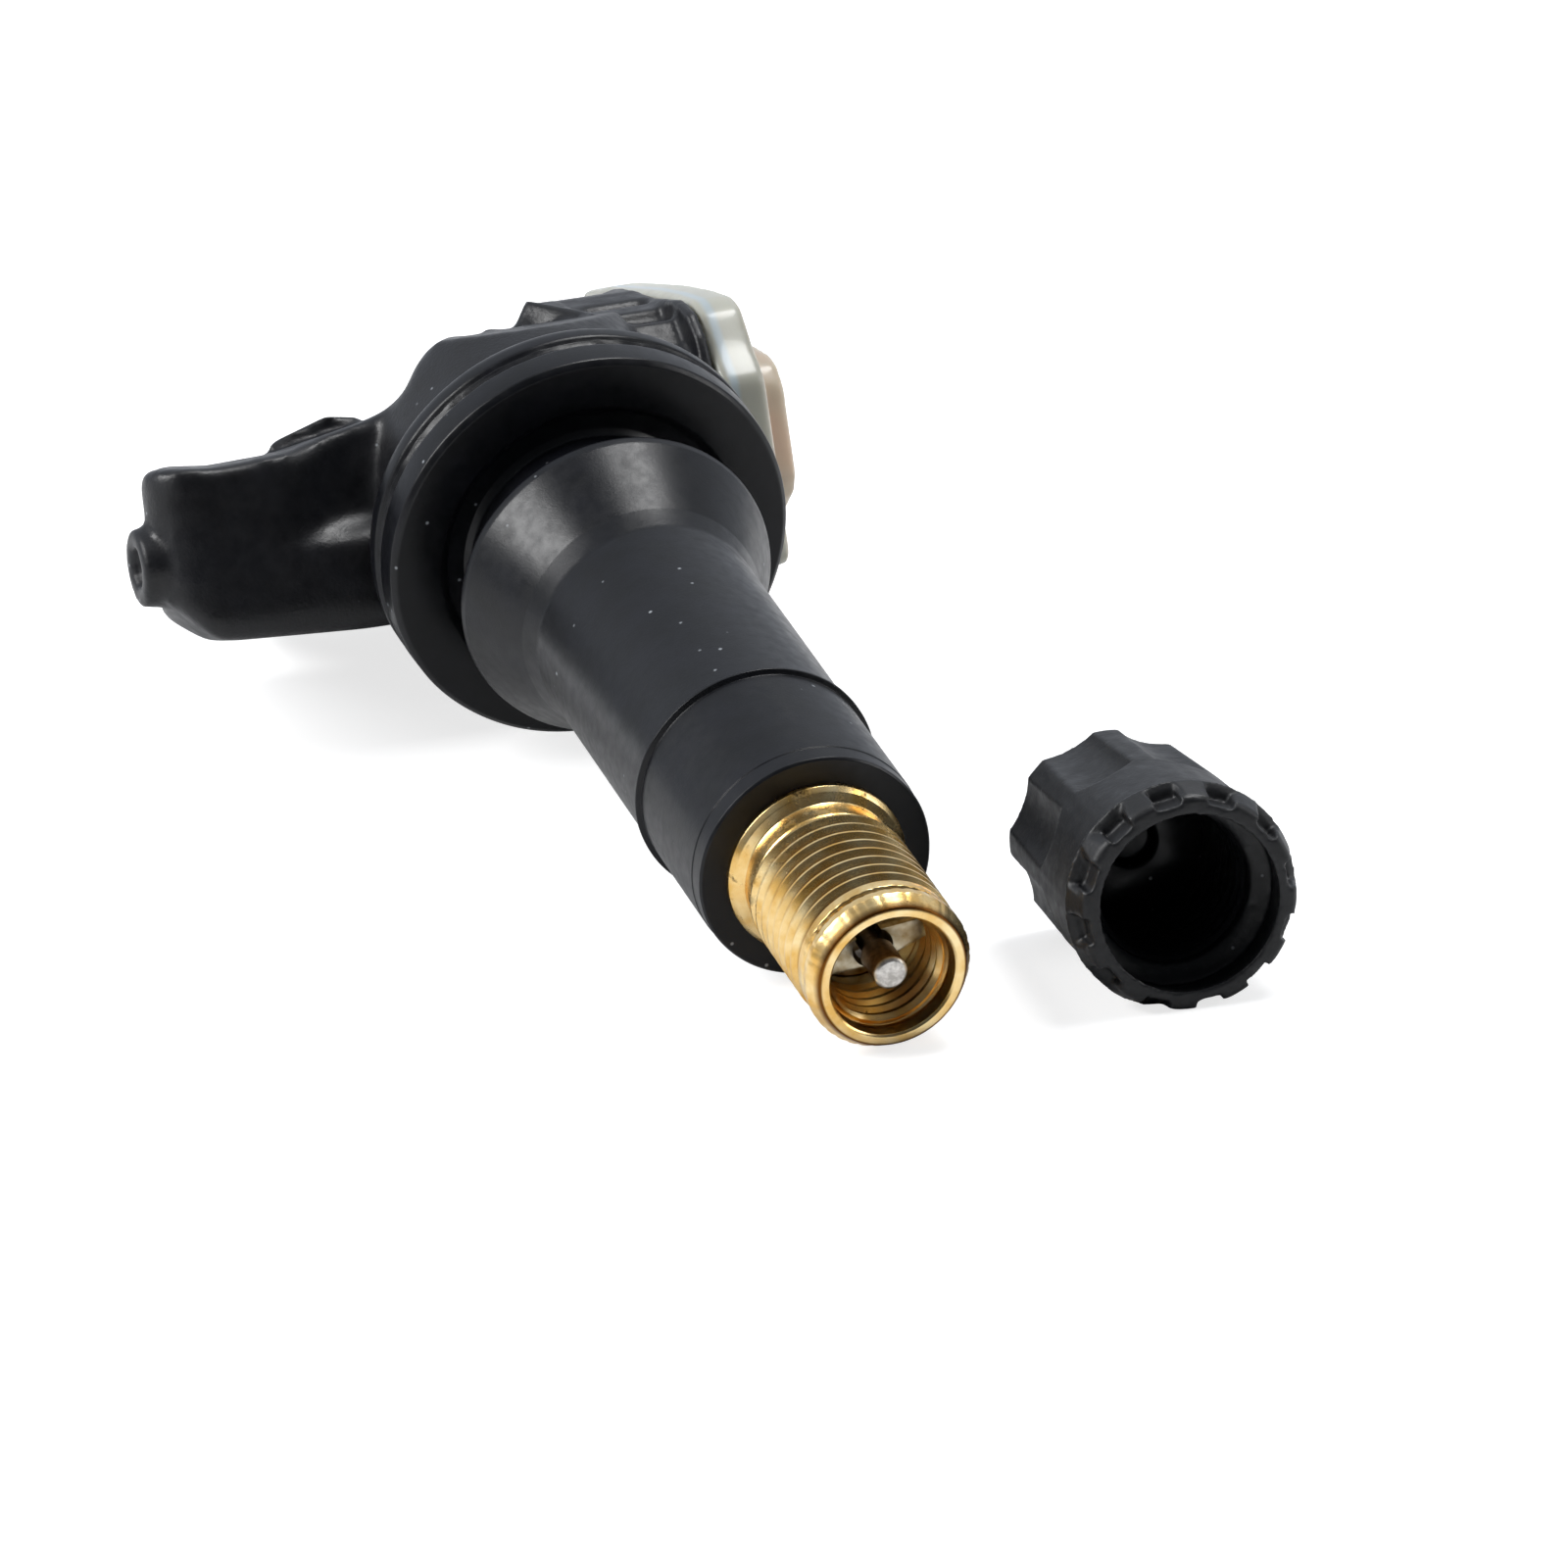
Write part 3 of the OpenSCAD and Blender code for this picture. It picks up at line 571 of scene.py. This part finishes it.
def chatter(r, d, a):
    """Facets that the cutter leaves on the bevel and end groove at the mouth."""
    near_end = 1.0 if CHATTER_FROM < d < CHATTER_TO and r > TUBE_R else 0.0
    facet = max(0.0, math.sin(a * CHATTER_MARKS)) ** 2
    return -0.035 * near_end * facet + 0.004 * noise.noise(Vector((r, d * 2, a * 3)))


def brass_stem():
    """The turned tube with its mouth, the valve thread on it and the core's thread in it."""
    root_r = THREAD_R - THREAD_DEPTH
    low = -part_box("brass_stem")[1].y / MM
    outline = rounded([
        (1.5, low), (2.4, low), (2.4, -FLANGE_T - BOSS_LEN), (TUBE_R, -FLANGE_T - BOSS_LEN),
        (TUBE_R, RUBBER_LEN - SHOULDER_LEN), (SHOULDER_R, RUBBER_LEN - SHOULDER_LEN),
        (SHOULDER_R, RUBBER_LEN + 0.25, 0.12), (SHOULDER_R - 0.2, RUBBER_LEN + 0.5, 0.1),
        (3.56, RUBBER_LEN + 0.7, 0.1), (3.56, THREAD_LOW - 0.1, 0.1), (root_r, THREAD_LOW + 0.15, 0.05),
        (root_r, STEM_LEN - 2.3, 0.05), (THREAD_R - 0.12, STEM_LEN - 2.1, 0.05),
        (THREAD_R - 0.12, STEM_LEN - 1.6, 0.05), (THREAD_R - 0.3, STEM_LEN - 1.5, 0.05),
        (THREAD_R - 0.3, STEM_LEN - 1.3, 0.05), (THREAD_R - 0.02, STEM_LEN - 1.15, 0.08),
        (THREAD_R - 0.02, STEM_LEN - 0.75, 0.08), (THREAD_R - 0.42, STEM_LEN - 0.05, 0.08),
        (THREAD_R - 0.55, STEM_LEN, 0.04), (MOUTH_R + 0.1, STEM_LEN, 0.04), (MOUTH_R, STEM_LEN - 0.1, 0.04),
        (MOUTH_R - 0.02, STEM_LEN - MOUTH_DEPTH, 0.1), (CORE_THREAD_R, STEM_LEN - MOUTH_DEPTH - 0.3, 0.1),
        (CORE_THREAD_R, STEM_LEN - 9), (1.95, STEM_LEN - 10.6), (1.95, 0.2), (1.5, -0.8)], 0.03)
    obj = lathe("turned_stem", outline, BRASS, 228, chatter)
    finish_mesh(obj)
    thread = onto_stem(helix("outer_thread", root_r - 0.02, THREAD_DEPTH, THREAD_PITCH, THREAD_LOW,
                             STEM_LEN - 2.0, BRASS))
    inner = onto_stem(helix("core_seat_thread", CORE_THREAD_R + 0.02, -0.2, CORE_PITCH,
                            STEM_LEN - 4.2, STEM_LEN - MOUTH_DEPTH - 0.1, BRASS, 0.4))
    place_piece(obj, SENSOR, "brass", "brass_stem")
    place_piece(thread, SENSOR, "brass")
    place_piece(inner, SENSOR, "brass")


def body_point(x, p, q):
    """A point of the moulded body, which leans back by LEAN: across, along its depth and up."""
    return Vector((x, BODY_Y + p * math.cos(LEAN) + q * math.sin(LEAN),
                   q * math.cos(LEAN) - p * math.sin(LEAN))) * MM


def body_size(v):
    """The same three sizes of a point in space."""
    y, z = v.y / MM - BODY_Y, v.z / MM
    return v.x / MM, y * math.cos(LEAN) - z * math.sin(LEAN), y * math.sin(LEAN) + z * math.cos(LEAN)


def loft(name, near, far):
    """A closed solid between two outlines with the same number of points."""
    bm = bmesh.new()
    a = [bm.verts.new(v) for v in near]
    b = [bm.verts.new(v) for v in far]
    n = len(a)
    for i in range(n):
        j = (i + 1) % n
        bm.faces.new((a[i], a[j], b[j], b[i]))
    bm.faces.new(a)
    bm.faces.new(b)
    bmesh.ops.recalc_face_normals(bm, faces=bm.faces)
    mesh = bpy.data.meshes.new(name)
    bm.to_mesh(mesh)
    bm.free()
    obj = bpy.data.objects.new(name, mesh)
    bpy.context.scene.collection.objects.link(obj)
    return obj


def across(name, outline, low, high):
    """An outline in depth and height, drawn out across the body."""
    ends = [[body_point(x, p, q) for p, q in outline] for x in (low, high)]
    return loft(name, *ends)


def backward(name, outline, low, high, drift=0.29, fall=-0.045, base=2.0):
    """An outline in width and height, drawn out toward the back with the mould's draft."""
    ends = [[body_point(x + drift * (p - base), p, q + fall * (p - base)) for x, q in outline]
            for p in (low, high)]
    return loft(name, *ends)


def soft_solid(obj, steps, voxel_mm, rounds, soft_part=None):
    """Joins or cuts solids in the order given, then rounds every edge a little, as a mould does."""
    for action, tool in steps:
        m = obj.modifiers.new(action.lower(), "BOOLEAN")
        m.operation = action
        m.solver = "EXACT"
        m.object = tool
    m = obj.modifiers.new("skin", "REMESH")
    m.mode = "VOXEL"
    m.voxel_size = voxel_mm * MM
    m = obj.modifiers.new("ease", "SMOOTH")
    m.factor = 0.5
    m.iterations = rounds
    apply_all(obj)
    if soft_part:
        group = obj.vertex_groups.new(name="soft_part")
        for v in obj.data.vertices:
            weight = soft_part(v.co)
            if weight > 0.0:
                group.add([v.index], weight, "REPLACE")
        m = obj.modifiers.new("melt", "SMOOTH")
        m.factor = 0.6
        m.iterations = 40
        m.vertex_group = "soft_part"
        apply_all(obj)
    for action, tool in steps:
        bpy.data.objects.remove(tool)
    for p in obj.data.polygons:
        p.use_smooth = True


# Upper edge of the body as it shows beside the stem: width and height, 2 mm behind its front.
# The other edges are depth and height: the end rim, the ribbed deck, the cover's plate and its step.
UPPER_EDGE = (
    (-19.4, 1.6), (-19.2, 2.55), (-18.95, 3.05), (-18.4, 3.36), (-17.7, 3.4), (-15.7, 3.14),
    (-12.7, 3.2), (-10.3, 3.6), (-7.9, 4.03), (-6.6, 4.4), (-5.5, 5.12), (-4.95, 6.1), (-4.2, 6.85),
    (-3.1, 7.42), (-2.3, 7.3), (-1.9, 7.28), (-1.5, 7.3), (-1.2, 7.5), (-0.6, 7.4), (0.3, 7.3),
    (0.9, 8.42), (4.6, 8.4), (5.3, 8.62), (9.6, 8.7))
RIM_EDGE = (
    (-0.5, 3.0), (-0.45, 4.0), (0.13, 5.65), (1.17, 6.83), (2.85, 7.41), (7.4, 7.55), (10.6, 7.87),
    (12.5, 8.07), (19.4, 8.0), (20.8, 6.6), (20.9, 3.0))
RIB_EDGE = (
    (0.0, 3.0), (0.0, 4.3), (1.6, 5.3), (2.75, 6.72), (2.95, 6.2), (4.5, 6.45), (4.8, 7.1), (6.4, 7.4),
    (6.6, 6.9), (7.3, 7.0), (7.6, 7.6), (9.5, 8.0), (12.5, 8.05), (19.2, 7.9), (20.6, 6.6), (20.7, 3.0))
PLATE_EDGE = (
    (-1.0, -5.2), (-1.0, 3.4), (0.3, 5.0), (1.3, 6.7), (2.3, 7.3), (5.5, 7.65), (9.2, 7.9), (16.7, 8.13),
    (20.6, 8.0), (21.3, 7.2), (21.3, -5.0), (20.8, -5.6), (-0.5, -5.6))
STEP_EDGE = (
    (1.9, -1.6), (1.9, 2.7), (2.5, 3.7), (3.3, 4.25), (6.2, 4.8), (17.6, 4.8), (18.0, 4.4), (18.0, -3.3),
    (17.6, -3.6), (4.8, -3.5), (2.6, -2.5))


def cap():
    """The fluted cap: the CAD solid with a fuller barrel and moulded edges, and its thread."""
    obj = dressed_copy("valve_cap", "fluted_cap", CAP, 0.0)
    obj.data.transform(cap_matrix().inverted())
    for v in obj.data.vertices:
        r = math.hypot(v.co.x, v.co.y) / MM
        z = v.co.z / MM
        if r > CAP_WALL_R and z < CAP_LEN - CAP_COLLAR_LEN:
            fuller = 1.0 + (0.2 + 0.16 * min(1.0, z / 6.0)) / r
            v.co.x *= fuller
            v.co.y *= fuller
    onto_cap(obj)
    for v in obj.data.vertices:
        back = min(1.0, max(0.0, (v.co.y - CAP_MOUTH.y * MM) / (CAP_LEN * MM)))
        v.co += CAP_SHEAR * MM * back
    soft_solid(obj, [], CAP_VOXEL, 2)
    place_piece(obj, SENSOR, "cap_plastic", "valve_cap")
    thread = onto_cap(helix("cap_thread", CAP_BORE_R + 0.03, -0.22, THREAD_PITCH, 3.4, CAP_LEN - 2.7,
                            CAP, 0.44))
    place_piece(thread, SENSOR, "cap_plastic")


def core_bridge():
    """The valve core's top as it shows: its narrow strap sits deep in the mouth, over the pin."""
    obj = dressed_copy("core_plug", "core_bridge", CORE_BRASS, 0.05)
    turn = Matrix.Rotation(STRAP_TURN, 3, "Y")
    for v in obj.data.vertices:
        at = Vector(v.co)
        if at.y < -PLUG_SPLIT * MM:
            if math.hypot(at.x, at.z) > PIN_HOLE_R * MM:
                at.z *= STRAP_WIDTH
            at.y = -PLUG_SPLIT * MM + (at.y + PLUG_SPLIT * MM) * STRAP_HEIGHT
        at = turn @ at
        at.y += STRAP_SINK * MM
        v.co = at
    place_piece(obj, SENSOR, "core_brass", "core_plug")


def housing():
    """The moulded body: the CAD solid, its ribbed deck raised and trimmed to the edge that shows."""
    obj = dressed_copy("housing", "sensor_housing", HOUSING, 0.0)
    for v in obj.data.vertices:
        x, p, q = body_size(v.co)
        if x < ARM_ROOT:
            x = ARM_ROOT + (x - ARM_ROOT) * ARM_SCALE
        if q < UNDERSIDE:
            q -= UNDERSIDE_DROP * min(1.0, (UNDERSIDE - q) / 2.0)
        v.co = body_point(x, p, q)
    upper = [(-26.0, 1.6)] + list(UPPER_EDGE) + [(9.6, 16.0), (-26.0, 16.0)]
    heel = [(-26.0, -3.0), (-19.6, -3.0), (-19.3, -3.5), (-18.1, -4.4), (-17.1, -5.05), (-15.8, -5.6),
            (-14.4, -5.95), (-14.4, -9.0), (-26.0, -9.0)]
    lug = [(-12.55, 2.4), (-12.5, 3.6), (-12.1, 3.8), (-9.6, 4.55), (-8.1, 4.3), (-8.0, 2.4)]
    steps = [
        ("UNION", across("end_rim", RIM_EDGE, 8.35, 8.98)),
        ("UNION", across("ribbed_deck", RIB_EDGE, 4.5, 8.5)),
        ("DIFFERENCE", backward("upper_cut", upper, -4.0, 26.0)),
        ("DIFFERENCE", backward("heel_cut", heel, -4.0, 26.0, base=0.5)),
        ("UNION", backward("arm_lug", lug, 4.2, 6.4)),
        ("UNION", loft("deck_lug", [body_point(0.75, 5.2, 6.7), body_point(1.95, 5.6, 8.4),
                                    body_point(5.0, 2.6, 7.2), body_point(5.0, 2.6, 6.0)],
                       [body_point(2.6, 11.0, 6.4), body_point(3.7, 11.0, 8.05),
                        body_point(5.4, 9.0, 7.4), body_point(5.4, 9.0, 6.0)]))]

    def arm_front(co):
        """How soft a point is: all of the arm's front and end, but not the nub."""
        x, p, q = body_size(co)
        if math.hypot(p - NUB_AT[0], q - NUB_AT[1]) < NUB_CLEAR and x < NUB_FROM:
            return 0.0
        front = max(0.0, min(1.0, (2.6 - p) / 0.8)) * max(0.0, min(1.0, (-4.2 - x) / 0.8))
        end = max(0.0, min(1.0, (-15.6 - x) / 1.5))
        return max(front, end)

    soft_solid(obj, steps, BODY_VOXEL, 3, arm_front)
    place_piece(obj, SENSOR, "housing", "housing")


def cover():
    """The welded plate and its raised step, both with soft edges."""
    obj = across("welded_cover", PLATE_EDGE, PLATE_FROM, PLATE_TO)
    obj.data.materials.append(COVER)
    step = across("cover_step", STEP_EDGE, STEP_FROM, STEP_TO)
    soft_solid(obj, [("UNION", step)], COVER_VOXEL, 30)
    place_piece(obj, SENSOR, "cover", "cover")


SMALL = (
    ("core_barrel", "core_tube", CORE_BRASS, "core_brass", 0.05, SENSOR),
    ("core_gasket", "core_sleeve_seal", PTFE, "gasket", 0.05, SENSOR),
    ("core_pin", "valve_core_pin", PIN_METAL, "core_pin", 0.05, PIN),
    ("core_cup", "core_seat_cup", CORE_BRASS, "core_brass", 0.05, PIN),
    ("core_cup_seal", "core_seat_rubber", RUBBER, "rubber", 0.04, PIN),
    ("cap_seal", "cap_seal_ring", RUBBER, "rubber", 0.15, SENSOR),
    ("stem_screw", "hollow_stem_screw", STEEL, "steel", 0.12, SENSOR),
)

INNER = {"core_spring": STEEL, "circuit_board": BOARD, "battery": STEEL, "battery_tab_top": STEEL,
         "battery_tab_bottom": STEEL, "pressure_chip": CHIP, "filter_disc": PTFE, "receiver_coil": COPPER,
         "antenna": COPPER, "crystal": STEEL, "capacitors": CERAMIC}


def paint(node, material):
    """Gives a CAD node that stays its material."""
    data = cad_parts[node].data
    data.materials.clear()
    data.materials.append(material)


def camera():
    """The camera at the photograph's viewing angle."""
    data = bpy.data.cameras.new("photo_camera")
    data.lens = CAM_LENS
    data.clip_start = 0.01
    data.clip_end = 10
    cam = bpy.data.objects.new("photo_camera", data)
    cam.location = CAM_PLACE * MM
    cam.rotation_mode = "QUATERNION"
    cam.rotation_quaternion = (-CAM_BACK).to_track_quat("-Z", "Y")
    bpy.context.scene.collection.objects.link(cam)
    bpy.context.scene.camera = cam


def floor():
    """A pale floor where the sensor lies, seen from above only, that renders white and keeps the shadow."""
    bm = bmesh.new()
    bmesh.ops.create_circle(bm, cap_ends=True, segments=96, radius=FLOOR_R * MM)
    mesh = bpy.data.meshes.new("studio_floor")
    bm.to_mesh(mesh)
    bm.free()
    material = bpy.data.materials.new("pale_floor")
    material.use_nodes = True
    t = material.node_tree
    t.nodes.clear()
    matte = add(t, "ShaderNodeBsdfDiffuse", Color=rgb("#e0e0e0")).outputs[0]
    soft = add(t, "ShaderNodeBsdfDiffuse", Color=rgb("#b8b8b8")).outputs[0]
    glow = add(t, "ShaderNodeEmission", Color=rgb("#ffffff"), Strength=0.75).outputs[0]
    shown = add(t, "ShaderNodeAddShader", [(soft, 0), (glow, 1)]).outputs[0]
    path = add(t, "ShaderNodeLightPath").outputs
    seen = add(t, "ShaderNodeMath", [(path["Is Camera Ray"], 0), (path["Is Transmission Ray"], 1)],
               operation="MAXIMUM").outputs[0]
    top = add(t, "ShaderNodeMixShader", [(seen, 0), (matte, 1), (shown, 2)]).outputs[0]
    clear = add(t, "ShaderNodeBsdfTransparent").outputs[0]
    under = add(t, "ShaderNodeNewGeometry").outputs["Backfacing"]
    both = add(t, "ShaderNodeMixShader", [(under, 0), (top, 1), (clear, 2)]).outputs[0]
    add(t, "ShaderNodeOutputMaterial", [(both, "Surface")])
    obj = new_object("studio_floor", mesh, material)
    turn = Matrix.Rotation(FLOOR_TILT, 4, "X")
    obj.data.transform(Matrix.Translation(FLOOR_TIP * MM) @ turn)


def softbox(name, place, size, watts, aim=(0.0, -15.0, 0.0)):
    """A rectangular lamp turned toward the stem."""
    data = bpy.data.lights.new(name, "AREA")
    data.shape = "RECTANGLE"
    data.size = size[0] * MM
    data.size_y = size[1] * MM
    data.energy = watts
    lamp = bpy.data.objects.new(name, data)
    lamp.location = Vector(place) * MM
    lamp.rotation_mode = "QUATERNION"
    lamp.rotation_quaternion = (Vector(aim) - Vector(place)).to_track_quat("-Z", "Y")
    bpy.context.scene.collection.objects.link(lamp)


def light():
    """Three softboxes, and a world that is white to the camera and soft grey to the part."""
    softbox("left_softbox", (-375, 75, 285), (150, 260), 2.1)
    softbox("top_softbox", (170, 100, 435), (150, 220), 1.5)
    softbox("right_softbox", (430, -110, 190), (120, 260), 0.5)
    world = bpy.data.worlds.new("white_studio")
    world.use_nodes = True
    bpy.context.scene.world = world
    t = world.node_tree
    t.nodes.clear()
    path = add(t, "ShaderNodeLightPath").outputs
    white = add(t, "ShaderNodeBackground", Color=rgb("#ffffff"), Strength=1.0).outputs[0]
    # The studio is lit behind the sensor and dark on the camera's side
    sky = add(t, "ShaderNodeTexCoord").outputs["Generated"]
    back = add(t, "ShaderNodeSeparateXYZ", [(sky, 0)]).outputs["Y"]
    level = ramp(t, back, -0.4, 0.5, 0.08, 0.8)
    dim = add(t, "ShaderNodeBackground", [(level, "Strength")], Color=rgb("#e6ecf6")).outputs[0]
    either = add(t, "ShaderNodeMath", [(path["Is Camera Ray"], 0), (path["Is Transmission Ray"], 1)],
                 operation="MAXIMUM").outputs[0]
    both = add(t, "ShaderNodeMixShader", [(either, 0), (dim, 1), (white, 2)]).outputs[0]
    add(t, "ShaderNodeOutputWorld", [(both, "Surface")])


camera()
rubber_stem()
brass_stem()
cap()
core_bridge()
housing()
cover()
for node, name, material, slot, bevel, body in SMALL:
    place_piece(dressed_copy(node, name, material, bevel), body, slot, node)
for node, material in INNER.items():
    paint(node, material)
floor()
light()
bpy.context.scene.view_settings.view_transform = "Standard"
